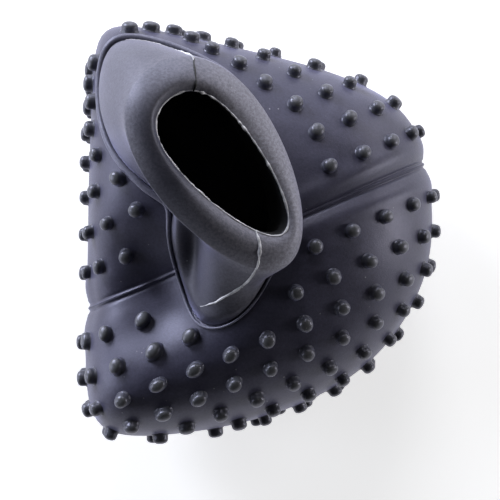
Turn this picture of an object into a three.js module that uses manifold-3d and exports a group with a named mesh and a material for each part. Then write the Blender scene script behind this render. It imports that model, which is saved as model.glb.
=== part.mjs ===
// Case opening friction ball: a hollow studded rubber ball that a watchmaker presses on a
// screw-back watch case and turns by hand. Two studded half shells meet at a grooved seam,
// and a flared neck collar with a rolled lip stands in an opening of the shell. The ball is
// modelled as a hand squeezes it, lying mouth up on its flattened back.
// Millimetres and degrees. +Z is up, +Y runs along the longest side, and the origin is at
// the middle of the bounding box's bottom.
import * as THREE from 'three';
import { ConvexHull } from 'three/addons/math/ConvexHull.js';
import Module from 'manifold-3d';

const wasm = await Module();
wasm.setup();

// Ball. The outline is seen from above, as [bearing, distance] of its blended flat sides.
const OUTLINE_SIDES = [
  [178, 43], [78, 44], [50, 48.5], [6, 43.5], [-30, 42.5], [-62, 43.5], [-86, 48.5], [-149, 66],
];
const OUTLINE_SHARPNESS = 10;
const FRONT_DEPTH = 31;
const BACK_DEPTH = 30;
const FRONT_FULLNESS = 2.1;
const FRONT_FULLNESS_LEFT = 0.9;
const BACK_FULLNESS = 3.4;
const SHELL_WALL = 2.4;

// Dent where a thumb presses beside the neck.
const DENT_CENTRE = [-27, -15];
const DENT_SPREAD = 11;
const DENT_PUSH = [4, 1, -11];
const DENT_FADE_HEIGHT = 14;

// Seam between the half shells: an upright plane through the ball's centre.
const SEAM_BEARING = 23;
const SEAM_GAP = 0.3;
const SEAM_GROOVE_DEPTH = 0.6;
const SEAM_GROOVE_HALF_ANGLE = 1.8;

// The two halves: side of the seam, distance of the half's pole from the seam, rows that
// would fit up to the pole, rows of studs, rings of studs that close in on a flat pole
// instead, and how far the first stud is along its row, in stud spacings.
const UPPER = { side: 1, poleReach: 57, rowSpan: 10.2, rows: 10, rings: 0, start: 0.3 };
const LOWER = { side: -1, poleReach: 44, rowSpan: 8.2, rows: 6, rings: 2, start: 0 };

// Studs, in rows parallel to the seam.
const STUD_HEIGHT = 2.3;
const STUD_FOOT_RADIUS = 1.9;
const STUD_TIP_RADIUS = 1.6;
const STUD_SIDES = 5;
const STUD_SPACING = 9.5;
const STUD_FIRST_ROW = 0.92;
const STUD_LEAST_SPACING = 6;
const STUD_CLEAR_OF_OPENING = 3.8;
const STUD_CLEAR_OF_LIP = 4;
const STUD_TABLE_FLAT = 0.35;
const TABLE_HEIGHT = -BACK_DEPTH - STUD_HEIGHT + STUD_TABLE_FLAT;

// Opening for the neck: how far it reaches from the neck's axis, every 45 degrees.
const NECK_AXIS = [-0.42, 0.3, 0.86];
const OPENING_REACH = [34.5, 31, 40.5, 41.5, 18.5, 15, 51, 44];

// Neck collar. An oval has a centre, half its length and width, the bearing of its length,
// a lean (rise per mm along X and Y), and how much blunter its far end is.
const LIP = {
  centre: [-10.8, 17.1, 41], half: [26.8, 15.4], bearing: -56, lean: [-0.35, -0.1], blunt: 2.7,
};
const MOUTH = {
  centre: [-9.9, 17, 43], half: [19.7, 8.7], bearing: -49, lean: [-0.35, -0.1], blunt: 3,
};
const LIP_CROWN = 2.2;
const LIP_PEAK = 0.66;
const THROAT_FALL = [-1.4, 0.9, -4];
const COLLAR_GAP_ANGLE = 0.5;

// The collar's wall, every 45 degrees: how long its foot flares, as a share of the way to
// the lip, how steeply it meets the ball, and how far its inside foot is in from the
// opening's edge.
const WALL_FLARE = [0.2, 0.3, 0.45, 0.45, 0.5, 0.7, 0.9, 0.1];
const FOOT_SLOPE = [0.5, 0.5, 0.5, 0.5, 0.4, 0.1, 0.1, 0.4];
const INSIDE_FOOT_ANGLE = [6, 6, 5, 5, 4, 7, 20, 10];
const WALL_TURN = 1.6;
const FOOT_OUTLOOK = 3;
const FLANGE_REACH_ANGLE = 4;
const FLANGE_THICKNESS = 1.6;
const FLANGE_GAP = 2;

// Fineness of the faceted surfaces.
const SEAM_POINTS = 44;
const LINING_LONGITUDES = 36;
const LINING_LATITUDES = [-75, -63, -52, -41, -30, -20, -10, 0, 10, 20, 30, 41, 52, 63, 75];
const RING_POINTS = 48;
const RING_GUIDE_ANGLES = [1.5, -8];
const FILL_STEP = 6;
const FILL_CLEARANCE = 4.2;
const LIP_PARTS = [0.2, 0.45, 0.66, 0.85];
const WALL_PARTS = [0, 0.25, 0.5, 0.75, 1];
const CUTTER_MARGIN = 8;
const NORMAL_STEP = 0.02;
const NORMAL_HELPER = [0.31, 0.52, 0.79];
const ROW_SAMPLES = 120;
const ROW_HALVINGS = 24;

const rad = THREE.MathUtils.degToRad;
const Z_AXIS = new THREE.Vector3(0, 0, 1);
const seamAlong = new THREE.Vector3(Math.cos(rad(SEAM_BEARING)), Math.sin(rad(SEAM_BEARING)), 0);
const seamNormal = new THREE.Vector3().crossVectors(Z_AXIS, seamAlong);
const neckAxis = new THREE.Vector3(...NECK_AXIS).normalize();
const neckAcross = new THREE.Vector3(0, 1, 0).cross(neckAxis).normalize();
const neckUp = new THREE.Vector3().crossVectors(neckAxis, neckAcross);

// ---- ball surface ----

function outlineRadius(bearing) {
  let sum = 0;
  for (const [side, distance] of OUTLINE_SIDES) {
    const reach = Math.max(0, Math.cos(bearing - rad(side))) / distance;
    sum += reach ** OUTLINE_SHARPNESS;
  }
  return sum ** (-1 / OUTLINE_SHARPNESS);
}

// Distance from the ball's centre to its surface in a unit direction, before the dent.
function ballRadius(direction) {
  const { x, y, z } = direction;
  const bearing = Math.atan2(y, x);
  const leftness = (0.5 - 0.5 * Math.cos(bearing)) ** 2;
  const fullness = z > 0 ? FRONT_FULLNESS + FRONT_FULLNESS_LEFT * leftness : BACK_FULLNESS;
  const depth = z > 0 ? FRONT_DEPTH : BACK_DEPTH;
  const across = Math.hypot(x, y) / outlineRadius(bearing);
  return (across ** fullness + (Math.abs(z) / depth) ** fullness) ** (-1 / fullness);
}

function press(point) {
  const away = Math.hypot(point.x - DENT_CENTRE[0], point.y - DENT_CENTRE[1]);
  const fade = THREE.MathUtils.smoothstep(point.z, 0, DENT_FADE_HEIGHT);
  const weight = fade * Math.exp(-0.5 * (away / DENT_SPREAD) ** 2);
  return point.addScaledVector(new THREE.Vector3(...DENT_PUSH), weight);
}

function ballPoint(direction, offset = 0) {
  const unit = direction.clone().normalize();
  return press(unit.multiplyScalar(ballRadius(unit) + offset));
}

function ballNormal(direction) {
  const side = new THREE.Vector3(...NORMAL_HELPER).cross(direction).normalize();
  const other = new THREE.Vector3().crossVectors(direction, side);
  const here = ballPoint(direction);
  const alongSide = ballPoint(direction.clone().addScaledVector(side, NORMAL_STEP)).sub(here);
  const alongOther = ballPoint(direction.clone().addScaledVector(other, NORMAL_STEP)).sub(here);
  return alongSide.cross(alongOther).normalize();
}

// The point at a depth square to the surface.
function underBall(direction, depth) {
  return ballPoint(direction).addScaledVector(ballNormal(direction), -depth);
}

// Direction by latitude from the seam plane and longitude round the seam's normal.
function seamDirection(latitude, longitude) {
  return new THREE.Vector3()
    .addScaledVector(seamNormal, Math.sin(latitude))
    .addScaledVector(seamAlong, Math.cos(latitude) * Math.cos(longitude))
    .addScaledVector(Z_AXIS, Math.cos(latitude) * Math.sin(longitude));
}

// ---- neck rings ----

// A closed curve through evenly spaced values, at a bearing in radians.
function blendRound(values, bearing) {
  const count = values.length;
  const place = ((bearing / (2 * Math.PI)) * count + count) % count;
  const first = Math.floor(place);
  const t = place - first;
  const [a, b, c, d] = [-1, 0, 1, 2].map((k) => values[(first + k + count) % count]);
  return b + 0.5 * t * (c - a + t * (2 * a - 5 * b + 4 * c - d + t * (3 * (b - c) + d - a)));
}

function neckDirection(bearing, extraReach) {
  const reach = rad(blendRound(OPENING_REACH, bearing) + extraReach);
  return neckAxis.clone().multiplyScalar(Math.cos(reach))
    .addScaledVector(neckAcross, Math.sin(reach) * Math.cos(bearing))
    .addScaledVector(neckUp, Math.sin(reach) * Math.sin(bearing));
}

const ringBearings = Array.from({ length: RING_POINTS }, (_, i) => (2 * Math.PI * i) / RING_POINTS);

function openingRing(extraReach, offset) {
  return ringBearings.map((bearing) => ballPoint(neckDirection(bearing, extraReach), offset));
}

// The point of a leaning oval that lies at a bearing from its centre.
function ovalPoint(oval, bearing) {
  const turn = rad(oval.bearing);
  const [long, wide] = oval.half;
  const angle = Math.atan2(Math.sin(bearing - turn) * long, Math.cos(bearing - turn) * wide);
  const along = long * Math.cos(angle) + oval.blunt * Math.cos(2 * angle);
  const across = wide * Math.sin(angle);
  const x = along * Math.cos(turn) - across * Math.sin(turn);
  const y = along * Math.sin(turn) + across * Math.cos(turn);
  const rise = oval.lean[0] * x + oval.lean[1] * y;
  return new THREE.Vector3(x, y, rise).add(new THREE.Vector3(...oval.centre));
}

const lipRing = ringBearings.map((bearing) => ovalPoint(LIP, bearing));
const mouthRing = ringBearings.map((bearing) => ovalPoint(MOUTH, bearing));
const mouthAxis = new THREE.Vector3(-MOUTH.lean[0], -MOUTH.lean[1], 1).normalize();

// ---- closed meshes ----

function solid(points, triangles) {
  const vertProperties = new Float32Array(points.flatMap((p) => p.toArray()));
  const mesh = new wasm.Mesh({ numProp: 3, vertProperties, triVerts: new Uint32Array(triangles) });
  return new wasm.Manifold(mesh);
}

// Skins a list of equal rings; with ends closed by a point, or joined last ring to first.
function skin(rings, ends) {
  const count = rings[0].length;
  const points = rings.flat();
  const triangles = [];
  const pairs = ends ? rings.length - 1 : rings.length;
  for (let r = 0; r < pairs; r += 1) {
    const low = r * count;
    const high = ((r + 1) % rings.length) * count;
    for (let i = 0; i < count; i += 1) {
      const j = (i + 1) % count;
      triangles.push(low + i, low + j, high + j, low + i, high + j, high + i);
    }
  }
  if (ends) {
    const last = (rings.length - 1) * count;
    points.push(ends[0], ends[1]);
    for (let i = 0; i < count; i += 1) {
      const j = (i + 1) % count;
      triangles.push(points.length - 2, j, i, points.length - 1, last + i, last + j);
    }
  }
  return solid(points, triangles);
}

// The inside of the shell wall, as one closed skin.
function lining() {
  const rings = LINING_LATITUDES.map((latitude) => {
    return Array.from({ length: LINING_LONGITUDES }, (_, i) => {
      const longitude = (-2 * Math.PI * i) / LINING_LONGITUDES;
      return underBall(seamDirection(rad(latitude), longitude), SHELL_WALL);
    });
  });
  const poles = [-90, 90].map((latitude) => underBall(seamDirection(rad(latitude), 0), SHELL_WALL));
  return skin(rings, poles);
}

function openingCutter() {
  const reaches = [-SHELL_WALL - CUTTER_MARGIN, -SHELL_WALL, 0, CUTTER_MARGIN];
  const rings = reaches.map((offset) => openingRing(0, offset));
  const ends = [reaches[0], reaches.at(-1)].map((offset) => ballPoint(neckAxis, offset));
  return skin(rings, ends);
}

// ---- studs ----

// The directions of one row: where a plane parallel to the seam cuts the ball.
function rowDirections(half, fromSeam) {
  return Array.from({ length: ROW_SAMPLES + 1 }, (_, i) => {
    const longitude = (2 * Math.PI * i) / ROW_SAMPLES;
    let low = 0;
    let high = Math.PI / 2;
    for (let step = 0; step < ROW_HALVINGS; step += 1) {
      const middle = (low + high) / 2;
      const direction = seamDirection(half.side * middle, longitude);
      if (ballRadius(direction) * Math.sin(middle) < fromSeam) low = middle;
      else high = middle;
    }
    return seamDirection(half.side * low, longitude);
  });
}

// Rows parallel to the seam, then rings that shrink from the last row to the pole.
function studPaths(half) {
  const paths = [];
  for (let row = 0; row < half.rows; row += 1) {
    const latitude = (90 * (row + STUD_FIRST_ROW)) / half.rowSpan;
    paths.push(rowDirections(half, half.poleReach * Math.sin(rad(latitude))));
  }
  const last = paths.at(-1);
  const pole = seamNormal.clone().multiplyScalar(half.side);
  for (let ring = 1; ring <= half.rings; ring += 1) {
    const part = ring / (half.rings + 1);
    paths.push(last.map((direction) => direction.clone().lerp(pole, part).normalize()));
  }
  return paths;
}

// Evenly spaced studs along each path, staggered from path to path.
function studDirections(half) {
  const directions = [];
  studPaths(half).forEach((path, row) => {
    const points = path.map((direction) => direction.clone().multiplyScalar(ballRadius(direction)));
    const lengths = [0];
    for (let i = 1; i < points.length; i += 1) {
      lengths.push(lengths[i - 1] + points[i].distanceTo(points[i - 1]));
    }
    const total = lengths.at(-1);
    const count = Math.max(1, Math.round(total / STUD_SPACING));
    for (let i = 0; i < count; i += 1) {
      const target = (total * ((i + half.start + 0.5 * (row % 2)) % count)) / count;
      const next = lengths.findIndex((length) => length > target);
      const part = (target - lengths[next - 1]) / (lengths[next] - lengths[next - 1]);
      directions.push(path[next - 1].clone().lerp(path[next], part).normalize());
    }
  });
  if (half.rings) directions.push(seamNormal.clone().multiplyScalar(half.side));
  return directions;
}

const rimPath = openingRing(0, 0);

function clearOfNeck(direction) {
  const bearing = Math.atan2(direction.dot(neckUp), direction.dot(neckAcross));
  const reach = direction.angleTo(neckAxis);
  const foot = ballPoint(direction);
  const tip = foot.clone().addScaledVector(ballNormal(direction), STUD_HEIGHT);
  const outside = reach > rad(blendRound(OPENING_REACH, bearing));
  return outside
    && rimPath.every((p) => p.distanceTo(foot) > STUD_CLEAR_OF_OPENING)
    && lipRing.every((p) => p.distanceTo(tip) > STUD_CLEAR_OF_LIP);
}

// A stud's corners round its foot, as directions from the ball's centre.
function footDirections(direction) {
  const foot = direction.clone().multiplyScalar(ballRadius(direction));
  const aside = new THREE.Vector3().crossVectors(direction, seamNormal).normalize();
  const other = new THREE.Vector3().crossVectors(direction, aside);
  return Array.from({ length: STUD_SIDES }, (_, k) => {
    const angle = (2 * Math.PI * k) / STUD_SIDES;
    return foot.clone()
      .addScaledVector(aside, STUD_FOOT_RADIUS * Math.cos(angle))
      .addScaledVector(other, STUD_FOOT_RADIUS * Math.sin(angle))
      .normalize();
  });
}

// All the studs' directions, without those that the neck or a nearer stud leaves no room for.
function studCentres() {
  const kept = [];
  const feet = [];
  for (const direction of [UPPER, LOWER].flatMap(studDirections).filter(clearOfNeck)) {
    const foot = ballPoint(direction);
    if (feet.every((other) => other.distanceTo(foot) > STUD_LEAST_SPACING)) {
      kept.push(direction);
      feet.push(foot);
    }
  }
  return kept;
}

function aboveTable(point) {
  point.z = Math.max(point.z, TABLE_HEIGHT);
  return point;
}

// The studded outside of the shell as one closed skin. The directions of the studs, the
// seam and the opening's guide rings are joined into triangles by their convex hull, and
// then each direction is set out to its own place on the ball or on a stud.
function studdedSkin() {
  const places = new Map();
  const taper = 1 - STUD_TIP_RADIUS / STUD_FOOT_RADIUS;
  for (const centre of studCentres()) {
    const out = ballNormal(centre);
    const tip = ballPoint(centre).addScaledVector(out, STUD_HEIGHT);
    const feet = footDirections(centre);
    places.set(centre, { low: tip, high: tip, isCentre: true });
    for (const foot of feet) {
      const low = ballPoint(foot);
      const high = low.clone().addScaledVector(out, STUD_HEIGHT).lerp(tip, taper);
      places.set(foot, { low, high, isCentre: false });
    }
  }
  const plain = [];
  for (const side of [-1, 0, 1]) {
    const latitude = rad(side * SEAM_GROOVE_HALF_ANGLE);
    for (let i = 0; i < SEAM_POINTS; i += 1) {
      const direction = seamDirection(latitude, (2 * Math.PI * i) / SEAM_POINTS);
      plain.push([direction, side === 0 ? -SEAM_GROOVE_DEPTH : 0]);
    }
  }
  for (const extraReach of RING_GUIDE_ANGLES) {
    for (const bearing of ringBearings) plain.push([neckDirection(bearing, extraReach), 0]);
  }
  const taken = [...places.values()].map((place) => place.low);
  taken.push(...plain.map(([direction]) => ballPoint(direction)));
  for (let latitude = FILL_STEP - 90; latitude < 90; latitude += FILL_STEP) {
    const count = Math.ceil((360 * Math.cos(rad(latitude))) / FILL_STEP);
    for (let i = 0; i < count; i += 1) {
      const direction = seamDirection(rad(latitude), (2 * Math.PI * i) / count);
      const point = ballPoint(direction);
      const isFree = taken.every((other) => other.distanceTo(point) > FILL_CLEARANCE);
      if (isFree) plain.push([direction, 0]);
    }
  }
  for (const [direction, offset] of plain) {
    const place = ballPoint(direction, offset);
    places.set(direction, { low: place, high: place, isCentre: false });
  }

  const points = [];
  const index = new Map();
  const number = (place) => {
    if (!index.has(place)) {
      index.set(place, points.length);
      points.push(aboveTable(place));
    }
    return index.get(place);
  };
  const triangles = [];
  for (const face of new ConvexHull().setFromPoints([...places.keys()]).faces) {
    const edges = [face.edge, face.edge.next, face.edge.next.next];
    const corners = edges.map((edge) => places.get(edge.head().point));
    const isTip = corners.some((corner) => corner.isCentre);
    triangles.push(...corners.map((corner) => number(isTip ? corner.high : corner.low)));
    if (isTip) {
      const middle = corners.findIndex((corner) => corner.isCentre);
      const [from, to] = [corners[(middle + 1) % 3], corners[(middle + 2) % 3]];
      const [a, b, c, d] = [from.low, to.low, to.high, from.high].map(number);
      triangles.push(a, b, c, a, c, d);
    }
  }
  return solid(points, triangles);
}

// ---- sub-parts ----

function openShell() {
  return studdedSkin().subtract(lining()).subtract(openingCutter());
}

function halfShell(shell, half) {
  return shell.trimByPlane(seamNormal.clone().multiplyScalar(half.side).toArray(), SEAM_GAP / 2);
}

// Over the lip from the mouth's edge to its rim. The crown is nearer the rim.
function lipRings() {
  return LIP_PARTS.map((part) => {
    const side = part < LIP_PEAK ? LIP_PEAK : 1 - LIP_PEAK;
    const rise = LIP_CROWN * (1 - ((part - LIP_PEAK) / side) ** 2);
    return mouthRing.map((edge, i) => {
      return edge.clone().lerp(lipRing[i], part).addScaledVector(mouthAxis, rise);
    });
  });
}

// Down the outside from the lip's rim to the foot, one Bezier curve at each bearing.
function wallRings() {
  const foot = openingRing(-COLLAR_GAP_ANGLE, 0);
  const beyond = openingRing(FOOT_OUTLOOK, 0);
  const rimSlope = (2 * LIP_CROWN) / (1 - LIP_PEAK);
  const curves = ringBearings.map((bearing, i) => {
    const across = lipRing[i].clone().sub(mouthRing[i]);
    const slope = rimSlope / across.length();
    const start = across.normalize().addScaledVector(mouthAxis, -slope).normalize();
    const dip = -blendRound(FOOT_SLOPE, bearing);
    const out = beyond[i].clone().sub(foot[i]).normalize();
    const end = out.addScaledVector(ballNormal(neckDirection(bearing, 0)), dip).normalize();
    const flare = blendRound(WALL_FLARE, bearing) * foot[i].distanceTo(lipRing[i]);
    return new THREE.CubicBezierCurve3(
      lipRing[i],
      lipRing[i].clone().addScaledVector(start, WALL_TURN),
      foot[i].clone().addScaledVector(end, -flare),
      foot[i],
    );
  });
  return WALL_PARTS.map((part) => curves.map((curve) => curve.getPoint(part)));
}

function neckCollar() {
  const flangeTop = SHELL_WALL + FLANGE_GAP;
  const flangeBottom = flangeTop + FLANGE_THICKNESS;
  const flangeEdge = (depth) => ringBearings.map((bearing) => {
    return underBall(neckDirection(bearing, FLANGE_REACH_ANGLE), depth);
  });
  const throat = mouthRing.map((edge) => edge.clone().add(new THREE.Vector3(...THROAT_FALL)));
  const insideFoot = ringBearings.map((bearing) => {
    const inset = blendRound(INSIDE_FOOT_ANGLE, bearing);
    return ballPoint(neckDirection(bearing, -inset), -flangeBottom);
  });
  const rings = [
    throat,
    mouthRing,
    ...lipRings(),
    ...wallRings(),
    openingRing(-COLLAR_GAP_ANGLE, -flangeTop),
    flangeEdge(flangeTop),
    flangeEdge(flangeBottom),
    insideFoot,
  ];
  return skin(rings.reverse(), null);
}

// ---- scene ----

function toMesh(name, manifold, material) {
  const { vertProperties, triVerts } = manifold.getMesh();
  const geometry = new THREE.BufferGeometry();
  geometry.setAttribute('position', new THREE.BufferAttribute(vertProperties, 3));
  geometry.setIndex(new THREE.BufferAttribute(triVerts, 1));
  geometry.computeVertexNormals();
  const mesh = new THREE.Mesh(geometry, material);
  mesh.name = name;
  return mesh;
}

const shellRubber = new THREE.MeshStandardMaterial({ color: 0x3d3d4b, roughness: 0.62, metalness: 0 });
const collarRubber = new THREE.MeshStandardMaterial({ color: 0x4a4a52, roughness: 0.58, metalness: 0 });

const shell = openShell();
const ball = new THREE.Group();
ball.add(
  toMesh('shell_upper_half', halfShell(shell, UPPER), shellRubber),
  toMesh('shell_lower_half', halfShell(shell, LOWER), shellRubber),
  toMesh('neck_collar', neckCollar(), collarRubber),
);

// The table is under the back studs, and the origin is below the middle of the whole.
const box = new THREE.Box3().setFromObject(ball, true);
const middle = box.getCenter(new THREE.Vector3());
ball.position.set(-middle.x, -middle.y, -box.min.z);

const frictionBall = new THREE.Group();
frictionBall.add(ball);

export default frictionBall;
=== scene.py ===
import math

import bmesh
import bpy
import numpy as np
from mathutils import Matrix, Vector


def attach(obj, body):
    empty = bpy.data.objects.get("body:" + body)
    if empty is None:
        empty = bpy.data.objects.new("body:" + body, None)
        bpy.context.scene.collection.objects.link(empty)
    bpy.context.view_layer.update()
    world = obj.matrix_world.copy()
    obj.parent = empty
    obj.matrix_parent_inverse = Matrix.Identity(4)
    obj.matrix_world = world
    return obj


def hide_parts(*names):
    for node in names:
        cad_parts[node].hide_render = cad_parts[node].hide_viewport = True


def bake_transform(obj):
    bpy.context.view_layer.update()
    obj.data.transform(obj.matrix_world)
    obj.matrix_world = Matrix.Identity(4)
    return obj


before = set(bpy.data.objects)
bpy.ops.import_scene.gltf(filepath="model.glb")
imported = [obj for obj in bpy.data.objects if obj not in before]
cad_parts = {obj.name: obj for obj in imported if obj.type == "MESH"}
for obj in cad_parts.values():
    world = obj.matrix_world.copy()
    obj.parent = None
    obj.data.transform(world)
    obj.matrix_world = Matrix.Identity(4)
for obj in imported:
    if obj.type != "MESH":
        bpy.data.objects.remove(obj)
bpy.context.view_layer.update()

BALL_CENTRE = np.array([0.4966, -0.3058, 31.95])
MM = 0.001

# Ball. The outline is seen from above, as (bearing, distance) of its blended flat sides.
OUTLINE_SIDES = np.array([
    (178, 43), (78, 44), (50, 48.5), (6, 43.5), (-30, 42.5), (-62, 43.5), (-86, 48.5), (-149, 66),
])
OUTLINE_SHARPNESS = 10
FRONT_DEPTH = 31
BACK_DEPTH = 30
FRONT_FULLNESS = 2.1
FRONT_FULLNESS_LEFT = 0.9
BACK_FULLNESS = 3.4
SHELL_WALL = 2.4

# Dent where a thumb presses beside the neck.
DENT_CENTRE = np.array([-27, -15])
DENT_SPREAD = 11
DENT_PUSH = np.array([4, 1, -11])
DENT_FADE_HEIGHT = 14

# Seam between the half shells: a shallow valley with a parting line down its middle.
SEAM_BEARING = math.radians(23)
SEAM_GAP = 0.1
VALLEY_DEPTH = 0.9
VALLEY_WIDTH = 2.1
SHOULDER_HEIGHT = 0.6
SHOULDER_OFFSET = 5.2
SHOULDER_WIDTH = 2.2
SWELL_LEAST = 0.35
SWELL_LONGITUDE = math.radians(38)
LINE_DEPTH = 0.45
LINE_WIDTH = 0.32
LINE_OFFSET = 0.75
RIDGE_HEIGHT = 0.28
RIDGE_WIDTH = 0.22

# The two halves: side of the seam, pole's distance from it, rows that would fit up to the
# pole, rows of studs, rings of studs that close in on a flat pole instead, first stud.
UPPER = {"side": 1, "pole_reach": 57, "row_span": 10.2, "rows": 10, "rings": 0, "start": 0.3}
LOWER = {"side": -1, "pole_reach": 44, "row_span": 8.2, "rows": 6, "rings": 2, "start": 0}

# Studs: a turned profile of (radius, height), and how they are placed and worn.
STUD_PROFILE = np.array([
    (2.05, -0.06), (1.82, 0.1), (1.7, 0.34), (1.67, 0.8), (1.66, 1.25),
    (1.58, 1.62), (1.36, 1.94), (0.98, 2.17), (0.5, 2.29),
])
STUD_HEIGHT = 2.32
STUD_TURNS = 20
STUD_SPACING = 9.5
STUD_FIRST_ROW = 0.92
STUD_LEAST_SPACING = 6
STUD_CLEAR_OF_OPENING = 3.8
STUD_CLEAR_OF_LIP = 4
STUD_SIZE_SPREAD = 0.035
STUD_LEAN_SPREAD = 0.05
TABLE_HEIGHT = -BALL_CENTRE[2]

# Opening for the neck: reach from the neck's axis, every 45 degrees, and its raised rim.
NECK_AXIS = np.array([-0.42, 0.3, 0.86])
OPENING_REACH = np.array([34.5, 31, 40.5, 41.5, 18.5, 15, 51, 44])
RIM_HALF_WIDTH = np.array([0.3, 0.5, 0.8, 0.85, 0.85, 0.65, 0.3, 0.25])
RIM_HALF_HEIGHT = 0.9
RIM_REACH = 1.1
RIM_RISE = 0.3

# Neck collar. Lists of eight values go round the neck, every 45 degrees from the right.
NECK_LEAN = (-0.35, -0.1)
LIP = {"centre": (-10.8, 17.1, 41), "half": (26.8, 15.4), "bearing": -56, "blunt": 2.7}
MOUTH = {"centre": (-9.9, 17, 43), "half": (19.7, 8.7), "bearing": -49, "blunt": 3}
LIP_CROWN = np.array([1.1, 1.1, 1.7, 2.2, 2.2, 2.2, 2.2, 1.5])
LIP_PEAK = np.array([0.5, 0.42, 0.36, 0.3, 0.3, 0.35, 0.5, 0.5])
MOUTH_DROP = np.array([0, 0, 0, 0.5, 1, 0.5, 0, 0])
MOUTH_EDGE = 0.5
MOUTH_BEVEL = 0.15
THROAT_FALL = np.array([-1.4, 0.9, -4])
WALL_FLARE = np.array([0.2, 0.3, 0.45, 0.45, 0.5, 0.7, 0.9, 0.1])
FOOT_SLOPE = np.array([0.5, 0.5, 0.5, 0.5, 0.4, 0.1, 0.1, 0.4])
FOOT_OUTLOOK = 3
WALL_TURN = 1.6
COLLAR_GAP_ANGLE = np.array([0.5, 0.5, 0.5, 0.5, 1.1, 2.4, 0.6, 0.5])
FOOT_RISE = 0.6
INSIDE_FOOT_ANGLE = np.array([6, 6, 5, 5, 4, 7, 20, 10])
FLANGE_REACH_ANGLE = 4
FLANGE_THICKNESS = 1.6
FLANGE_GAP = 2

# How pale the neck's rubber is: partly real wear and dust, partly painted light and shade,
# paler on the right and top and darker on the left. 0 is clean and darkest, 1 most worn and palest.
# The paleness fades from one list to the next over these shares of the lip and of the wall.
LIP_WEAR_AND_PAINTED_LIGHT = np.array([0.95, 0.85, 0.75, 0.2, 0, 0, 0.4, 0.8])
RIM_WEAR_AND_PAINTED_LIGHT = np.array([0.95, 0.85, 0.65, 0.3, 0.45, 0.15, 0.4, 1])
WALL_WEAR_AND_PAINTED_LIGHT = np.array([0.4, 0.3, 0.25, 0.2, 0.2, 0.2, 0.05, 0.4])
LIP_TO_RIM = (0.5, 0.9)
RIM_TO_WALL = (0.05, 0.4)

# Moulding flash on the collar, as (bearing, station, width) points: station 0 is the
# mouth's edge, 1 the lip's rim and 2 the wall's foot.
# The flash over the lip is drawn in near-black painted shade, standing in for the shade along a groove.
FLASH_OVER_LIP = np.array([
    (111.5, 0.05, 0.24), (108, 0.35, 0.26), (105.5, 0.6, 0.24), (103, 0.85, 0.2),
])
FLASH_TOP = np.array([
    (104, 0.75, 0.1), (103, 1.0, 0.3), (104.5, 1.4, 0.3), (105, 1.8, 0.24), (107.5, 1.96, 0.22),
    (112, 1.975, 0.2), (117, 1.98, 0.16), (121, 1.98, 0.08),
])
FLASH_BOTTOM = np.array([
    (296, 0.05, 0.18), (294, 0.4, 0.3), (291.5, 0.65, 0.42), (289.5, 1.05, 0.32), (291, 1.5, 0.3),
    (287.5, 1.72, 0.36), (279, 1.86, 0.32), (273, 1.91, 0.2), (267, 1.95, 0.08),
])
FLASH_HEIGHT = 0.9
FLASH_UNEVENNESS = 0.5
FLASH_SMOOTHING = 5
FLASH_MARGIN = 4
FLASH_SECTION = [(-1, -0.4), (-0.75, 0.45), (-0.2, 0.95), (0.3, 0.9), (0.8, 0.4), (1, -0.4)]
MOUTH_FLASH_WIDTH = 0.26
MOUTH_FLASH_RINGS_PAST_EDGE = 0.9

# Camera, in metres, with its sensor and lens in millimetres.
CAMERA_PLACE = (-0.00225, -0.00431, 0.45195)
CAMERA_SENSOR = 36
CAMERA_LENS = 121
CAMERA_CLIP = 0.01

# Floor, in metres. It lies a hair under the studs.
FLOOR_REACH = 12
FLOOR_HEIGHT = -0.0002

# Studio lights as (name, bearing, elevation, power, colour). All are equally far from the
# target and equally large.
COOL = (0.85, 0.89, 1)
PLAIN = (1, 0.98, 0.97)
LIGHTS = [
    ("key", 135, 12, 12, COOL), ("left", 180, 12, 3.4, COOL), ("top", 90, 12, 3.4, COOL),
    ("above", 90, 35, 1.9, PLAIN), ("right", 45, 12, 1.9, PLAIN), ("edge", 0, 12, 3.6, PLAIN),
]
LIGHT_TARGET = Vector((0, 0, 0.03))
LIGHT_DISTANCE = 1
LIGHT_SIZE = 0.4

# Surroundings, as (height of the direction, brightness). They darken from one to the other.
HORIZON = (0.04, 0.6)
OVERHEAD = (0.16, 0.03)

DUST_COLOUR = (0.42, 0.42, 0.44, 1)

# Fineness of the surfaces. The shell's steps from the seam to the pole are in millimetres
# on a round ball of the grid's radius.
SHELL_LONGITUDES = 260
SHELL_STEP = 1.15
GRID_RADIUS = 46
SEAM_STEPS = [0, 0.12, 0.28, 0.45, 0.6, 0.75, 0.9, 1.08, 1.3, 1.6, 2, 2.5, 3.1, 3.8, 4.6, 5.6]
COLLAR_BEARINGS = 180
THROAT_RINGS = 5
INSIDE_RINGS = 4
MOUTH_RING = THROAT_RINGS + 1
LIP_STEPS = 18
RIM_RING = MOUTH_RING + LIP_STEPS + 1
WALL_STEPS = 22
ROW_SAMPLES = 120
ROW_HALVINGS = 24
RIM_BEARINGS = 360
RIM_TURNS = 14
MOUTH_FLASH_POINTS = 400
FLASH_POINTS_PER_SPAN = 14
CLEARANCE_SAMPLES = 48

# Small steps along the surfaces to find their normals, in radians and in rings.
NORMAL_STEP = 0.008
NORMAL_HELPER = [0.31, 0.52, 0.79]
COLLAR_STEP = 0.01
COLLAR_RING_STEP = 0.5


def unit(vectors):
    return vectors / np.linalg.norm(vectors, axis=-1, keepdims=True)


Z_AXIS = np.array([0.0, 0.0, 1.0])
SEAM_ALONG = np.array([math.cos(SEAM_BEARING), math.sin(SEAM_BEARING), 0])
SEAM_NORMAL = np.cross(Z_AXIS, SEAM_ALONG)
neck_axis = unit(NECK_AXIS)
neck_across = unit(np.cross([0, 1, 0], neck_axis))
neck_up = np.cross(neck_axis, neck_across)
mouth_axis = unit(np.array([-NECK_LEAN[0], -NECK_LEAN[1], 1]))
dice = np.random.default_rng(23)


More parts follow.
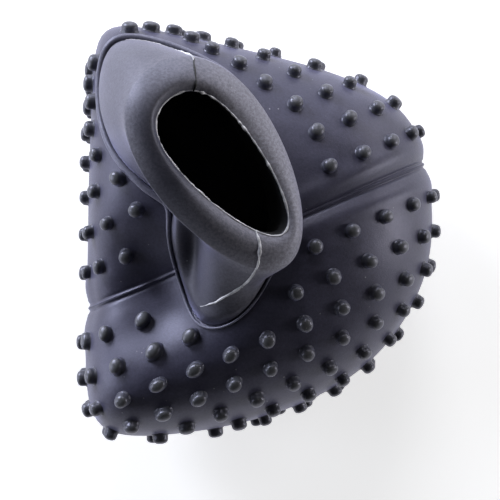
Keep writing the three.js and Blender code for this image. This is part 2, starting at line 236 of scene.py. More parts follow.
# ---- ball surface, in millimetres from the ball's centre ----

def smoothstep(value, low, high):
    t = np.clip((value - low) / (high - low), 0, 1)
    return t * t * (3 - 2 * t)


def outline_radius(bearing):
    sides, distances = OUTLINE_SIDES.T
    reach = np.maximum(0, np.cos(bearing[..., None] - np.radians(sides))) / distances
    return (reach ** OUTLINE_SHARPNESS).sum(-1) ** (-1 / OUTLINE_SHARPNESS)


def ball_radius(direction):
    x, y, z = np.moveaxis(direction, -1, 0)
    bearing = np.arctan2(y, x)
    leftness = (0.5 - 0.5 * np.cos(bearing)) ** 2
    fullness = np.where(z > 0, FRONT_FULLNESS + FRONT_FULLNESS_LEFT * leftness, BACK_FULLNESS)
    depth = np.where(z > 0, FRONT_DEPTH, BACK_DEPTH)
    across = np.hypot(x, y) / outline_radius(bearing)
    return (across ** fullness + (np.abs(z) / depth) ** fullness) ** (-1 / fullness)


def press(points):
    away = np.hypot(points[..., 0] - DENT_CENTRE[0], points[..., 1] - DENT_CENTRE[1])
    weight = smoothstep(points[..., 2], 0, DENT_FADE_HEIGHT) * np.exp(-0.5 * (away / DENT_SPREAD) ** 2)
    return points + weight[..., None] * DENT_PUSH


def ball_point(direction, offset=0.0):
    direction = unit(direction)
    return press(direction * (ball_radius(direction) + offset)[..., None])


def ball_normal(direction):
    direction = unit(direction)
    side = unit(np.cross(NORMAL_HELPER, direction))
    other = np.cross(direction, side)
    along_side = ball_point(direction + NORMAL_STEP * side) - ball_point(direction - NORMAL_STEP * side)
    along_other = ball_point(direction + NORMAL_STEP * other) - ball_point(direction - NORMAL_STEP * other)
    return unit(np.cross(along_side, along_other))


def under_ball(direction, depth):
    return ball_point(direction) - depth * ball_normal(direction)


def seam_direction(latitude, longitude):
    latitude, longitude = np.broadcast_arrays(latitude, longitude)
    return (np.sin(latitude)[..., None] * SEAM_NORMAL
            + (np.cos(latitude) * np.cos(longitude))[..., None] * SEAM_ALONG
            + (np.cos(latitude) * np.sin(longitude))[..., None] * Z_AXIS)


# ---- neck curves ----

def curve_through(a, b, c, d, t):
    """A smooth curve from b, at t = 0, to c, at t = 1, that heads on from a and towards d."""
    return b + 0.5 * t * (c - a + t * (2 * a - 5 * b + 4 * c - d + t * (3 * (b - c) + d - a)))


def blend_round(values, bearing):
    """A closed curve through evenly spaced values, at bearings in radians."""
    count = len(values)
    place = (bearing / (2 * math.pi) * count) % count
    first = np.floor(place).astype(int) % count
    t = place - np.floor(place)
    return curve_through(*(values[(first + k) % count] for k in (-1, 0, 1, 2)), t)


def neck_direction(bearing, extra_reach):
    reach = np.radians(blend_round(OPENING_REACH, bearing) + extra_reach)[..., None]
    bearing = bearing[..., None]
    return (np.cos(reach) * neck_axis
            + np.sin(reach) * np.cos(bearing) * neck_across
            + np.sin(reach) * np.sin(bearing) * neck_up)


def neck_polar(direction):
    """Bearing round the neck's axis and reach from it, in radians."""
    direction = unit(direction)
    bearing = np.arctan2(direction @ neck_up, direction @ neck_across)
    return bearing, np.arccos(np.clip(direction @ neck_axis, -1, 1))


def oval_point(oval, bearing):
    turn = math.radians(oval["bearing"])
    long, wide = oval["half"]
    angle = np.arctan2(np.sin(bearing - turn) * long, np.cos(bearing - turn) * wide)
    along = long * np.cos(angle) + oval["blunt"] * np.cos(2 * angle)
    across = wide * np.sin(angle)
    x = along * math.cos(turn) - across * math.sin(turn)
    y = along * math.sin(turn) + across * math.cos(turn)
    rise = NECK_LEAN[0] * x + NECK_LEAN[1] * y
    return np.stack([x, y, rise], -1) + np.array(oval["centre"])


# ---- meshes ----

def to_frame(points):
    return (points + BALL_CENTRE) * MM


def make_piece(name, points, faces, materials, slots, wear_and_painted_light=None):
    """A smooth mesh object from points in millimetres from the ball's centre."""
    mesh = bpy.data.meshes.new(name)
    mesh.from_pydata(to_frame(points).tolist(), [], faces)
    mesh.polygons.foreach_set("use_smooth", [True] * len(mesh.polygons))
    for material in materials:
        mesh.materials.append(material)
    mesh.polygons.foreach_set("material_index", slots)
    attribute = mesh.attributes.new("wear_and_painted_light", "FLOAT", "POINT")
    attribute.data.foreach_set("value", np.zeros(len(points)) if wear_and_painted_light is None else wear_and_painted_light)
    mesh.validate()
    piece = bpy.data.objects.new(name, mesh)
    bpy.context.scene.collection.objects.link(piece)
    return piece


def ring_faces(rings, count, closed=False):
    """Quads between rings of equal count, whose points are numbered ring by ring."""
    faces = []
    for r in range(rings if closed else rings - 1):
        low = r * count
        high = (r + 1) % rings * count
        for i in range(count):
            j = (i + 1) % count
            faces.append((low + i, low + j, high + j, high + i))
    return faces


def join_parts(parts):
    """The points and faces of separate parts, as one mesh's."""
    points, faces, first = [], [], 0
    for part_points, part_faces in parts:
        points.append(part_points)
        faces += [tuple(i + first for i in face) for face in part_faces]
        first += len(part_points)
    return np.concatenate(points), faces


# ---- studs ----

def row_directions(half, from_seam):
    longitude = 2 * np.pi * np.arange(ROW_SAMPLES + 1) / ROW_SAMPLES
    low = np.zeros_like(longitude)
    high = np.full_like(longitude, np.pi / 2)
    for _ in range(ROW_HALVINGS):
        middle = (low + high) / 2
        short = ball_radius(seam_direction(half["side"] * middle, longitude)) * np.sin(middle) < from_seam
        low = np.where(short, middle, low)
        high = np.where(short, high, middle)
    return seam_direction(half["side"] * low, longitude)


def stud_paths(half):
    """Rows parallel to the seam, then rings that shrink from the last row to the pole."""
    paths = []
    for row in range(half["rows"]):
        latitude = math.radians(90 * (row + STUD_FIRST_ROW) / half["row_span"])
        paths.append(row_directions(half, half["pole_reach"] * math.sin(latitude)))
    last = paths[-1]
    for ring in range(half["rings"]):
        part = (ring + 1) / (half["rings"] + 1)
        paths.append(unit(last * (1 - part) + half["side"] * SEAM_NORMAL * part))
    return paths


def stud_directions(half):
    """Evenly spaced studs along each path, staggered from path to path."""
    directions = []
    for row, path in enumerate(stud_paths(half)):
        points = path * ball_radius(path)[:, None]
        lengths = np.concatenate([[0], np.cumsum(np.linalg.norm(np.diff(points, axis=0), axis=1))])
        count = max(1, round(lengths[-1] / STUD_SPACING))
        for i in range(count):
            target = lengths[-1] * ((i + half["start"] + 0.5 * (row % 2)) % count) / count
            nearest = int(np.argmax(lengths > target))
            part = (target - lengths[nearest - 1]) / (lengths[nearest] - lengths[nearest - 1])
            directions.append(unit(path[nearest - 1] * (1 - part) + path[nearest] * part))
    if half["rings"]:
        directions.append(half["side"] * SEAM_NORMAL)
    return np.array(directions)


def clear_of_neck(directions):
    ring = 2 * np.pi * np.arange(CLEARANCE_SAMPLES) / CLEARANCE_SAMPLES
    rim = ball_point(neck_direction(ring, 0))
    lip = oval_point(LIP, ring)
    bearing, reach = neck_polar(directions)
    foot = ball_point(directions)
    tip = foot + STUD_HEIGHT * ball_normal(directions)
    outside = reach > np.radians(blend_round(OPENING_REACH, bearing))
    from_rim = np.linalg.norm(foot[:, None] - rim, axis=-1).min(1)
    from_lip = np.linalg.norm(tip[:, None] - lip, axis=-1).min(1)
    return directions[outside & (from_rim > STUD_CLEAR_OF_OPENING) & (from_lip > STUD_CLEAR_OF_LIP)]


def stud_centres():
    """All the studs as (direction, side), without those that an earlier one leaves no room for."""
    kept, feet = [], []
    for half in (UPPER, LOWER):
        for direction in clear_of_neck(stud_directions(half)):
            foot = ball_point(direction)
            if all(np.linalg.norm(other - foot) > STUD_LEAST_SPACING for other in feet):
                kept.append((direction, half["side"]))
                feet.append(foot)
    return kept


def stud(direction):
    """One stud's points, faces and wear. Its foot follows the ball and its tip is domed."""
    foot = direction * ball_radius(direction)
    aside = unit(np.cross(direction, SEAM_NORMAL))
    other = np.cross(direction, aside)
    lean = dice.normal(0, STUD_LEAN_SPREAD, 2)
    out = unit(ball_normal(direction) + lean[0] * aside + lean[1] * other)
    radii, heights = (STUD_PROFILE * (1 + dice.normal(0, STUD_SIZE_SPREAD, 2))).T
    turn = 2 * np.pi * np.arange(STUD_TURNS) / STUD_TURNS
    spoke = np.cos(turn)[:, None] * aside + np.sin(turn)[:, None] * other
    around = foot + radii[:, None, None] * spoke
    points = ball_point(around) + heights[:, None, None] * out
    tip = ball_point(direction) + STUD_HEIGHT * heights[-1] / STUD_PROFILE[-1][1] * out
    points = np.concatenate([points.reshape(-1, 3), tip[None]])
    points[:, 2] = np.maximum(points[:, 2], TABLE_HEIGHT)
    rings = len(STUD_PROFILE)
    faces = ring_faces(rings, STUD_TURNS)
    last = (rings - 1) * STUD_TURNS
    faces += [(last + i, last + (i + 1) % STUD_TURNS, len(points) - 1) for i in range(STUD_TURNS)]
    faces.append(tuple(range(STUD_TURNS))[::-1])
    wear_and_painted_light = np.append(np.repeat(np.clip(heights / STUD_HEIGHT, 0, 1), STUD_TURNS), 1)
    return points, faces, wear_and_painted_light


# ---- half shells ----

def seam_profile(distance, longitude):
    """Height of the surface beside the seam, from its distance in millimetres."""
    swell = SWELL_LEAST + (1 - SWELL_LEAST) * np.cos(longitude - SWELL_LONGITUDE) ** 2
    valley = -VALLEY_DEPTH * np.exp(-0.5 * (distance / VALLEY_WIDTH) ** 2)
    shoulder = SHOULDER_HEIGHT * np.exp(-0.5 * ((distance - SHOULDER_OFFSET) / SHOULDER_WIDTH) ** 2)
    line = -LINE_DEPTH * np.exp(-0.5 * ((distance - LINE_OFFSET) / LINE_WIDTH) ** 2)
    ridge = RIDGE_HEIGHT * np.exp(-0.5 * (distance / RIDGE_WIDTH) ** 2)
    return swell * (valley + shoulder + line) + ridge


def shell_latitudes():
    """Latitudes from the seam to the pole, closer together beside the seam."""
    arc = GRID_RADIUS * math.pi / 2
    rest = np.arange(SEAM_STEPS[-1] + SHELL_STEP, arc - SHELL_STEP / 2, SHELL_STEP)
    return (np.concatenate([SEAM_STEPS, rest]) + SEAM_GAP / 2) / GRID_RADIUS


def shell_skin(half):
    """The outside of a half shell on a grid of latitude and longitude, open at the neck."""
    latitude = shell_latitudes()
    longitude = 2 * np.pi * np.arange(SHELL_LONGITUDES) / SHELL_LONGITUDES
    grid = seam_direction(half["side"] * latitude[:, None], longitude[None, :])
    height = seam_profile(latitude[:, None] * GRID_RADIUS, longitude[None, :])
    directions = np.concatenate([grid.reshape(-1, 3), half["side"] * SEAM_NORMAL[None]])
    heights = np.append(np.broadcast_to(height, grid.shape[:2]).ravel(), 0)

    bearing, away = neck_polar(directions)
    edge = np.radians(blend_round(OPENING_REACH, bearing))
    inside = away < edge
    on_edge = neck_direction(bearing, 0)

    count = SHELL_LONGITUDES
    quads = ring_faces(len(latitude), count)
    last = (len(latitude) - 1) * count
    quads += [(last + i, last + (i + 1) % count, len(directions) - 1) for i in range(count)]
    if half["side"] > 0:
        quads = [face[::-1] for face in quads]
    faces = [face for face in quads if not all(inside[i] for i in face)]
    directions = np.where(inside[:, None], on_edge, directions)
    heights = np.where(inside, 0, heights)
    used = sorted({i for face in faces for i in face})
    number = {old: new for new, old in enumerate(used)}
    faces = [tuple(number[i] for i in face) for face in faces]
    directions, heights = directions[used], heights[used]
    normals = ball_normal(directions)
    outer = ball_point(directions) + heights[:, None] * normals
    return outer, normals, faces


def thicken(outer, normals, faces):
    """A closed wall: the skin, the same skin a wall's thickness inside, and its edges."""
    inner = outer - SHELL_WALL * normals
    count = len(outer)
    edges = {(face[k], face[(k + 1) % len(face)]) for face in faces for k in range(len(face))}
    border = [(a, b) for a, b in edges if (b, a) not in edges]
    closed = list(faces)
    closed += [tuple(i + count for i in face[::-1]) for face in faces]
    closed += [(b, a, a + count, b + count) for a, b in sorted(border)]
    return np.concatenate([outer, inner]), closed


def rim_bead(side):
    """The raised rim round the opening, on one side of the seam."""
    bearing = 2 * np.pi * np.arange(RIM_BEARINGS) / RIM_BEARINGS
    direction = neck_direction(bearing, RIM_REACH)
    centre = ball_point(direction)
    normal = ball_normal(direction)
    along = unit(np.roll(centre, -1, 0) - np.roll(centre, 1, 0))
    outward = unit(np.cross(along, normal))
    half_width = blend_round(RIM_HALF_WIDTH, bearing)[:, None]
    half_height = RIM_HALF_HEIGHT * half_width / RIM_HALF_WIDTH.max()
    rings = []
    for k in range(RIM_TURNS):
        angle = 2 * math.pi * k / RIM_TURNS
        rings.append(centre + half_width * math.cos(angle) * outward
                     + (RIM_RISE + half_height * math.sin(angle)) * normal)
    points = np.stack(rings)
    return split_at_seam(points.reshape(-1, 3), ring_faces(RIM_TURNS, RIM_BEARINGS, closed=True), side)


def split_at_seam(points, faces, side):
    mesh = bmesh.new()
    corners = [mesh.verts.new(p) for p in points]
    for face in faces:
        mesh.faces.new([corners[i] for i in face])
    cut = bmesh.ops.bisect_plane(
        mesh, geom=mesh.verts[:] + mesh.edges[:] + mesh.faces[:],
        plane_co=side * SEAM_GAP / 2 * SEAM_NORMAL, plane_no=side * SEAM_NORMAL, clear_inner=True)
    edges = [g for g in cut["geom_cut"] if isinstance(g, bmesh.types.BMEdge)]
    bmesh.ops.holes_fill(mesh, edges=edges)
    bmesh.ops.recalc_face_normals(mesh, faces=mesh.faces)
    mesh.verts.index_update()
    kept = np.array([v.co[:] for v in mesh.verts])
    kept_faces = [tuple(v.index for v in face.verts) for face in mesh.faces]
    mesh.free()
    return kept, kept_faces


def half_shell(name, half, studs, materials):
    """One piece from a half's wall, rim and studs. The materials are the wall's and the studs'."""
    wall = thicken(*shell_skin(half))
    rim = rim_bead(half["side"])
    own_studs = [stud(direction) for direction, side in studs if side == half["side"]]
    points, faces = join_parts([wall, rim] + [(corners, sides) for corners, sides, _ in own_studs])
    plain_faces = len(wall[1]) + len(rim[1])
    slots = [0] * plain_faces + [1] * (len(faces) - plain_faces)
    # The shell's wall stays plain, its rim bead paler all over and its studs paler towards their tips.
    wear_and_painted_light = [np.zeros(len(wall[0])), np.ones(len(rim[0]))] + [worn for _, _, worn in own_studs]
    return make_piece(name, points, faces, materials, slots, np.concatenate(wear_and_painted_light))


# ---- neck collar ----

def bezier(a, b, c, d, t):
    s = 1 - t
    return s ** 3 * a + 3 * s * s * t * b + 3 * s * t * t * c + t ** 3 * d


def collar_rings(bearing):
    """The collar's closed section at each bearing: throat, lip, flared wall, foot, flange."""
    mouth = oval_point(MOUTH, bearing) - blend_round(MOUTH_DROP, bearing)[:, None] * Z_AXIS
    lip = oval_point(LIP, bearing)
    peak = blend_round(LIP_PEAK, bearing)[:, None]
    crown = blend_round(LIP_CROWN, bearing)[:, None]
    inward_turn = -blend_round(COLLAR_GAP_ANGLE, bearing)
    foot = ball_point(neck_direction(bearing, inward_turn), FOOT_RISE)
    foot_out = unit(ball_point(neck_direction(bearing, FOOT_OUTLOOK)) - foot)
    foot_normal = ball_normal(neck_direction(bearing, 0))

    rings = []
    inward = unit(mouth - lip)
    for k in range(THROAT_RINGS):
        rings.append(mouth + (1 - k / THROAT_RINGS) * THROAT_FALL)
    rings.append(mouth - MOUTH_EDGE * mouth_axis)
    rings.append(mouth - MOUTH_BEVEL * (mouth_axis + inward))
    for k in range(1, LIP_STEPS + 1):
        part = 0.5 - 0.5 * math.cos(math.pi * k / (LIP_STEPS + 1))
        side = np.where(part < peak, peak, 1 - peak)
        rise = crown * (1 - ((part - peak) / side) ** 2)
        rings.append(mouth + part * (lip - mouth) + rise * mouth_axis)

    width = np.linalg.norm(lip - mouth, axis=-1, keepdims=True)
    start = unit(-inward - 2 * crown / (1 - peak) / width * mouth_axis)
    end = unit(foot_out - blend_round(FOOT_SLOPE, bearing)[:, None] * foot_normal)
    span = np.linalg.norm(foot - lip, axis=-1, keepdims=True)
    flare = blend_round(WALL_FLARE, bearing)[:, None]
    wall = []
    for k in range(WALL_STEPS + 1):
        t = k / WALL_STEPS
        wall.append(bezier(lip, lip + WALL_TURN * start, foot - flare * span * end, foot, t))
    rings += wall

    flange_top = SHELL_WALL + FLANGE_GAP
    flange_bottom = flange_top + FLANGE_THICKNESS
    rings.append(ball_point(neck_direction(bearing, inward_turn), -flange_top))
    rings.append(under_ball(neck_direction(bearing, FLANGE_REACH_ANGLE), flange_top))
    rings.append(under_ball(neck_direction(bearing, FLANGE_REACH_ANGLE), flange_bottom))
    inside_reach = -blend_round(INSIDE_FOOT_ANGLE, bearing)
    inside_foot = ball_point(neck_direction(bearing, inside_reach), -flange_bottom)
    for k in range(INSIDE_RINGS):
        rings.append(inside_foot + k / INSIDE_RINGS * (rings[0] - inside_foot))
    return np.stack(rings)


def collar_wear_and_painted_light(bearing, ring_count):
    """How pale every point of the collar is, ring by ring: real wear and dust, and painted light and
    shade. The inside isn't worn.
    """
    lip_wear_and_painted_light = blend_round(LIP_WEAR_AND_PAINTED_LIGHT, bearing)
    rim_wear_and_painted_light = blend_round(RIM_WEAR_AND_PAINTED_LIGHT, bearing)
    wall_wear_and_painted_light = blend_round(WALL_WEAR_AND_PAINTED_LIGHT, bearing)
    wear_and_painted_light = np.zeros((ring_count, len(bearing)))
    for k in range(LIP_STEPS + 2):
        out = smoothstep(k / (LIP_STEPS + 1), *LIP_TO_RIM)
        wear_and_painted_light[MOUTH_RING - 1 + k] = lip_wear_and_painted_light * (1 - out) + rim_wear_and_painted_light * out
    for k in range(WALL_STEPS + 1):
        down = smoothstep(k / WALL_STEPS, *RIM_TO_WALL)
        wear_and_painted_light[RIM_RING + k] = rim_wear_and_painted_light * (1 - down) + wall_wear_and_painted_light * down
    return np.clip(wear_and_painted_light, 0, 1)


def neck_collar(outside, inside):
    bearing = 2 * np.pi * np.arange(COLLAR_BEARINGS) / COLLAR_BEARINGS
    rings = collar_rings(bearing)
    faces = [face[::-1] for face in ring_faces(len(rings), COLLAR_BEARINGS, closed=True)]
    slots = []
    for ring in range(len(rings)):
        # The inside rings take the second material, near-black painted shade.
        is_inside = ring < THROAT_RINGS - 1 or ring >= RIM_RING + WALL_STEPS
        slots += [int(is_inside)] * COLLAR_BEARINGS
    # The neck's paleness: real wear and dust, and painted light and shade.
    wear_and_painted_light = collar_wear_and_painted_light(bearing, len(rings)).ravel()
    return make_piece("neck_collar_rubber", rings.reshape(-1, 3), faces, [outside, inside], slots, wear_and_painted_light)


def collar_surface(bearing, ring):
    """Points and outward normals at bearings in radians and fractional ring numbers."""
    def at(bearing, ring):
        rings = collar_rings(bearing)
        low = np.clip(np.floor(ring).astype(int), 0, len(rings) - 2)
        part = (ring - low)[:, None]
        column = np.arange(len(bearing))
        return rings[low, column] * (1 - part) + rings[low + 1, column] * part
    along = at(bearing + COLLAR_STEP, ring) - at(bearing - COLLAR_STEP, ring)
    across = at(bearing, ring + COLLAR_RING_STEP) - at(bearing, ring - COLLAR_RING_STEP)
    return at(bearing, ring), unit(np.cross(across, along))


def spline(points, parts):
    """A smooth curve through the points, at parts from 0 to len(points) - 1."""
    low = np.clip(np.floor(parts).astype(int), 0, len(points) - 2)
    t = (parts - low)[:, None]
    last = len(points) - 1
    return curve_through(*(points[np.clip(low + k, 0, last)] for k in (-1, 0, 1, 2)), t)


def ragged(count):
    """Smooth seeded unevenness around 1 along a line of flash."""
    rough = dice.normal(0, FLASH_UNEVENNESS, count + 2 * FLASH_MARGIN)
    smooth = np.convolve(rough, np.ones(FLASH_SMOOTHING) / FLASH_SMOOTHING, "same")
    return 1 + smooth[FLASH_MARGIN:FLASH_MARGIN + count]


def flash_ridge(bearing, ring, width, closed=False):
    """A thin fin of flash that stands on the collar's surface along a path."""
    centre, normal = collar_surface(bearing, ring)
    if closed:
        along = unit(np.roll(centre, -1, 0) - np.roll(centre, 1, 0))
    else:
        along = unit(np.gradient(centre, axis=0))
    aside = unit(np.cross(along, normal))
    width = (width * ragged(len(centre)))[:, None]
    height = FLASH_HEIGHT * width * ragged(len(centre))[:, None]
    points = np.stack([centre + u * width * aside + v * height * normal for u, v in FLASH_SECTION], 1)
    count = len(FLASH_SECTION)
    faces = ring_faces(len(centre), count, closed=closed)
    if not closed:
        faces.append(tuple(range(count))[::-1])
        faces.append(tuple(range((len(centre) - 1) * count, len(centre) * count)))
    return points.reshape(-1, 3), faces


def station_ring(station):
    on_lip = MOUTH_RING + station * (RIM_RING - MOUTH_RING)
    on_wall = RIM_RING + (station - 1) * WALL_STEPS
    return np.where(station < 1, on_lip, on_wall)


def collar_flash(pale, dark):
    """The mouth's ring of flash and the lines where the mould parted; the line over the lip is near-black
    painted shade, standing in for the shade along a groove.
    """
    parts = []
    bearing = 2 * np.pi * np.arange(MOUTH_FLASH_POINTS) / MOUTH_FLASH_POINTS
    ring = np.full(MOUTH_FLASH_POINTS, MOUTH_RING + MOUTH_FLASH_RINGS_PAST_EDGE)
    parts.append(flash_ridge(bearing, ring, MOUTH_FLASH_WIDTH, closed=True))
    for path in (FLASH_TOP, FLASH_BOTTOM, FLASH_OVER_LIP):
        spans = len(path) - 1
        fine = spline(path, np.linspace(0, spans, FLASH_POINTS_PER_SPAN * spans))
        parts.append(flash_ridge(np.radians(fine[:, 0]), station_ring(fine[:, 1]), fine[:, 2]))
    points, faces = join_parts(parts)
    # The flash over the lip takes the second material, painted shade.
    painted_shade_faces = len(parts[-1][1])
    slots = [0] * (len(faces) - painted_shade_faces) + [1] * painted_shade_faces
    return make_piece("neck_flash", points, faces, [pale, dark], slots)


# ---- materials ----

def node(tree, kind, inputs=None, **settings):
    made = tree.nodes.new(kind)
    for key, value in settings.items():
        setattr(made, key, value)
    for key, value in (inputs or {}).items():
        made.inputs[key].default_value = value
    return made


def ramp(tree, source, stops):
    made = tree.nodes.new("ShaderNodeValToRGB")
    made.color_ramp.elements[0].position, made.color_ramp.elements[0].color = stops[0]
    made.color_ramp.elements[1].position, made.color_ramp.elements[1].color = stops[-1]
    for position, colour in stops[1:-1]:
        made.color_ramp.elements.new(position).color = colour
    tree.links.new(source, made.inputs["Fac"])
    return made.outputs["Color"]


def grey(value):
    return (value, value, value, 1)


def new_material(name):
    material = bpy.data.materials.new(name)
    material.use_nodes = True
    tree = material.node_tree
    return material, tree, tree.nodes["Principled BSDF"]


def mottled(tree, shader, scale, stops):
    """Colours the shader by a noise of that scale in the piece's own place."""
    place = node(tree, "ShaderNodeTexCoord").outputs["Object"]
    noise = node(tree, "ShaderNodeTexNoise", {"Scale": scale, "Detail": 4})
    tree.links.new(place, noise.inputs["Vector"])
    tone = ramp(tree, noise.outputs["Fac"], stops)
    tree.links.new(tone, shader.inputs["Base Color"])


def rubber(name, dark, light, worn, worn_from, worn_most, grain, roughness, dust):
    """Moulded rubber: mottled colour, paler where worn (on the neck also as painted light and shade), fine
    grain, and specks of dust.
    """
    material, tree, shader = new_material(name)
    link = tree.links.new
    place = node(tree, "ShaderNodeTexCoord").outputs["Object"]

    mottle = node(tree, "ShaderNodeTexNoise", {"Scale": 70, "Detail": 5, "Roughness": 0.6})
    link(place, mottle.inputs["Vector"])
    base = ramp(tree, mottle.outputs["Fac"], [(0.3, (*dark, 1)), (0.72, (*light, 1))])

    # The pale worn colour goes where this attribute is high: real wear, and on the neck also painted light
    # and shade.
    wear_and_painted_light = node(tree, "ShaderNodeAttribute", attribute_name="wear_and_painted_light").outputs["Fac"]
    worn_and_lit_share = ramp(tree, wear_and_painted_light, [(worn_from, grey(0)), (1.0, grey(worn_most))])
    worn_and_lit_mix = node(tree, "ShaderNodeMix", {"B": (*worn, 1)}, data_type="RGBA")
    link(worn_and_lit_share, worn_and_lit_mix.inputs["Factor"])
    link(base, worn_and_lit_mix.inputs["A"])

    cells = node(tree, "ShaderNodeTexVoronoi", {"Scale": 420, "Randomness": 1})
    link(place, cells.inputs["Vector"])
    speck = ramp(tree, cells.outputs["Distance"], [(0.03, grey(1)), (0.09, grey(0))])
    patches = node(tree, "ShaderNodeTexNoise", {"Scale": 260, "Detail": 3})
    link(place, patches.inputs["Vector"])
    patch = ramp(tree, patches.outputs["Fac"], [(0.56, grey(0)), (0.66, grey(dust))])
    specks = node(tree, "ShaderNodeMath", operation="MULTIPLY")
    link(speck, specks.inputs[0])
    link(patch, specks.inputs[1])
    dusty = node(tree, "ShaderNodeMix", {"B": DUST_COLOUR}, data_type="RGBA")
    link(specks.outputs["Value"], dusty.inputs["Factor"])
    link(worn_and_lit_mix.outputs["Result"], dusty.inputs["A"])

    speckle = node(tree, "ShaderNodeTexNoise", {"Scale": 1500, "Detail": 4, "Roughness": 0.75})
    link(place, speckle.inputs["Vector"])
    shade = node(tree, "ShaderNodeMapRange", {"From Min": 0.38, "From Max": 0.62,
                                              "To Min": 1 - grain, "To Max": 1 + grain})
    link(speckle.outputs["Fac"], shade.inputs["Value"])
    speckled = node(tree, "ShaderNodeVectorMath", operation="SCALE")
    link(dusty.outputs["Result"], speckled.inputs[0])
    link(shade.outputs["Result"], speckled.inputs["Scale"])
    link(speckled.outputs["Vector"], shader.inputs["Base Color"])

    smears = node(tree, "ShaderNodeTexNoise", {"Scale": 140, "Detail": 6, "Roughness": 0.7})
    link(place, smears.inputs["Vector"])
    low, high = roughness
    sheen = node(tree, "ShaderNodeMapRange", {"To Min": low, "To Max": high})
    link(smears.outputs["Fac"], sheen.inputs["Value"])
    link(sheen.outputs["Result"], shader.inputs["Roughness"])

    pores = node(tree, "ShaderNodeTexNoise", {"Scale": 2600, "Detail": 4, "Roughness": 0.65})
    link(place, pores.inputs["Vector"])
    bump = node(tree, "ShaderNodeBump", {"Strength": 0.35, "Distance": 0.00012})
    link(pores.outputs["Fac"], bump.inputs["Height"])
    link(bump.outputs["Normal"], shader.inputs["Normal"])

    shader.inputs["Specular IOR Level"].default_value = 0.65
    shader.inputs["Sheen Weight"].default_value = 0.3
    shader.inputs["Sheen Roughness"].default_value = 0.4
    shader.inputs["Sheen Tint"].default_value = (0.6, 0.6, 1, 1)
    shader.inputs["Specular Tint"].default_value = (0.78, 0.78, 1, 1)
    return material


def pale_flash():
    """Thin, stretched rubber that has gone pale."""
    material, tree, shader = new_material("pale_flash")
    mottled(tree, shader, 350, [(0.35, (0.3, 0.3, 0.33, 1)), (0.6, (0.66, 0.66, 0.7, 1))])
    shader.inputs["Roughness"].default_value = 0.5
    return material


def painted_shade_inside():
    """Painted shade: near-black rubber, darker than the neck's own rubber and free of dust, standing in
    for the shade inside the neck.
    """
    material, tree, shader = new_material("neck_painted_shade")
    mottled(tree, shader, 200, [(0.3, (0.008, 0.008, 0.01, 1)), (0.7, (0.014, 0.014, 0.016, 1))])
    shader.inputs["Roughness"].default_value = 0.7
    return material


def plain_floor():
    """White paper, a little brighter than the lights make it, as on a light table."""
    material, tree, shader = new_material("floor_paper")
    mottled(tree, shader, 30, [(0.3, grey(0.93)), (0.7, grey(0.96))])
    shader.inputs["Roughness"].default_value = 0.9
    shader.inputs["Emission Color"].default_value = (1, 1, 1, 1)
    shader.inputs["Emission Strength"].default_value = 0.6
    return material


# ---- stage ----

def floor():
    """Wide enough that views from the side see nothing past it."""
    corners = [(x * FLOOR_REACH, y * FLOOR_REACH, 0) for x, y in ((-1, -1), (1, -1), (1, 1), (-1, 1))]
    mesh = bpy.data.meshes.new("floor")
    mesh.from_pydata(corners, [], [(0, 1, 2, 3)])
    mesh.materials.append(plain_floor())
    piece = bpy.data.objects.new("floor", mesh)
    piece.location.z = FLOOR_HEIGHT
    bpy.context.scene.collection.objects.link(piece)


def area_light(name, place, power, colour):
    lamp = bpy.data.lights.new(name, "AREA")
    lamp.shape = "DISK"
    lamp.size = LIGHT_SIZE
    lamp.energy = power
    lamp.color = colour
    holder = bpy.data.objects.new(name, lamp)
    holder.location = place
    holder.rotation_euler = (place - LIGHT_TARGET).to_track_quat("Z", "Y").to_euler()
    bpy.context.scene.collection.objects.link(holder)


def studio_world():
    """Nearly dark overhead, with a pale band along the horizon behind the floor."""
    world = bpy.data.worlds.new("studio")
    world.use_nodes = True
    tree = world.node_tree
    direction = node(tree, "ShaderNodeTexCoord").outputs["Generated"]
    split = node(tree, "ShaderNodeSeparateXYZ")
    tree.links.new(direction, split.inputs["Vector"])
    walls = [(rise, grey(brightness)) for rise, brightness in (HORIZON, OVERHEAD)]
    band = ramp(tree, split.outputs["Z"], walls)
    tree.links.new(band, tree.nodes["Background"].inputs["Color"])
    bpy.context.scene.world = world


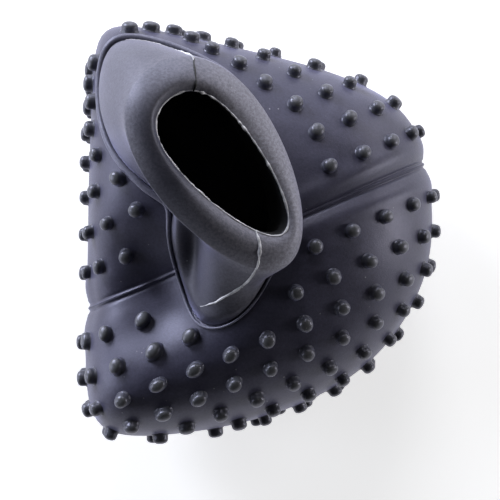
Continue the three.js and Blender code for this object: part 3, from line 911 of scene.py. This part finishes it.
def camera():
    """Looks straight down on the neck, as the photograph does."""
    lens = bpy.data.cameras.new("camera")
    lens.sensor_width = CAMERA_SENSOR
    lens.lens = CAMERA_LENS
    lens.clip_start = CAMERA_CLIP
    holder = bpy.data.objects.new("camera", lens)
    holder.location = CAMERA_PLACE
    bpy.context.scene.collection.objects.link(holder)
    bpy.context.scene.camera = holder


def main():
    shell_rubber = rubber(
        "shell_rubber", dark=(0.026, 0.025, 0.042), light=(0.047, 0.046, 0.073), worn=(0.15, 0.15, 0.19),
        worn_from=0.55, worn_most=0.55, grain=0.2, roughness=(0.3, 0.55), dust=0.8)
    stud_rubber = rubber(
        "stud_rubber", dark=(0.036, 0.037, 0.044), light=(0.050, 0.052, 0.058), worn=(0.08, 0.082, 0.08),
        worn_from=0.55, worn_most=0.55, grain=0.15, roughness=(0.26, 0.44), dust=0.8)
    # On the neck the pale worn colour is laid on by bearing: real dust and wear, and also painted light on
    # the right and top and painted shade on the left.
    neck_rubber = rubber(
        "neck_rubber", dark=(0.019, 0.019, 0.026), light=(0.033, 0.033, 0.042), worn=(0.235, 0.232, 0.27),
        worn_from=0, worn_most=0.8, grain=0.3, roughness=(0.38, 0.6), dust=0.9)

    studs = stud_centres()
    for name, half, node_name in (("shell_upper_rubber", UPPER, "shell_upper_half"),
                                  ("shell_lower_rubber", LOWER, "shell_lower_half")):
        piece = half_shell(name, half, studs, [shell_rubber, stud_rubber])
        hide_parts(node_name)
        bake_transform(piece)
    # Near-black painted shade, inside the neck and on the flash over the lip.
    painted_shade_rubber = painted_shade_inside()
    collar = neck_collar(neck_rubber, painted_shade_rubber)
    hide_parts("neck_collar")
    flash = collar_flash(pale_flash(), painted_shade_rubber)
    for piece in (collar, flash):
        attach(piece, "neck")

    floor()
    for name, around, up, power, colour in LIGHTS:
        around, up = math.radians(around), math.radians(up)
        away = Vector((math.cos(up) * math.cos(around), math.cos(up) * math.sin(around), math.sin(up)))
        area_light(name, LIGHT_TARGET + LIGHT_DISTANCE * away, power, colour)
    studio_world()
    bpy.context.scene.view_settings.view_transform = "Standard"
    camera()


main()
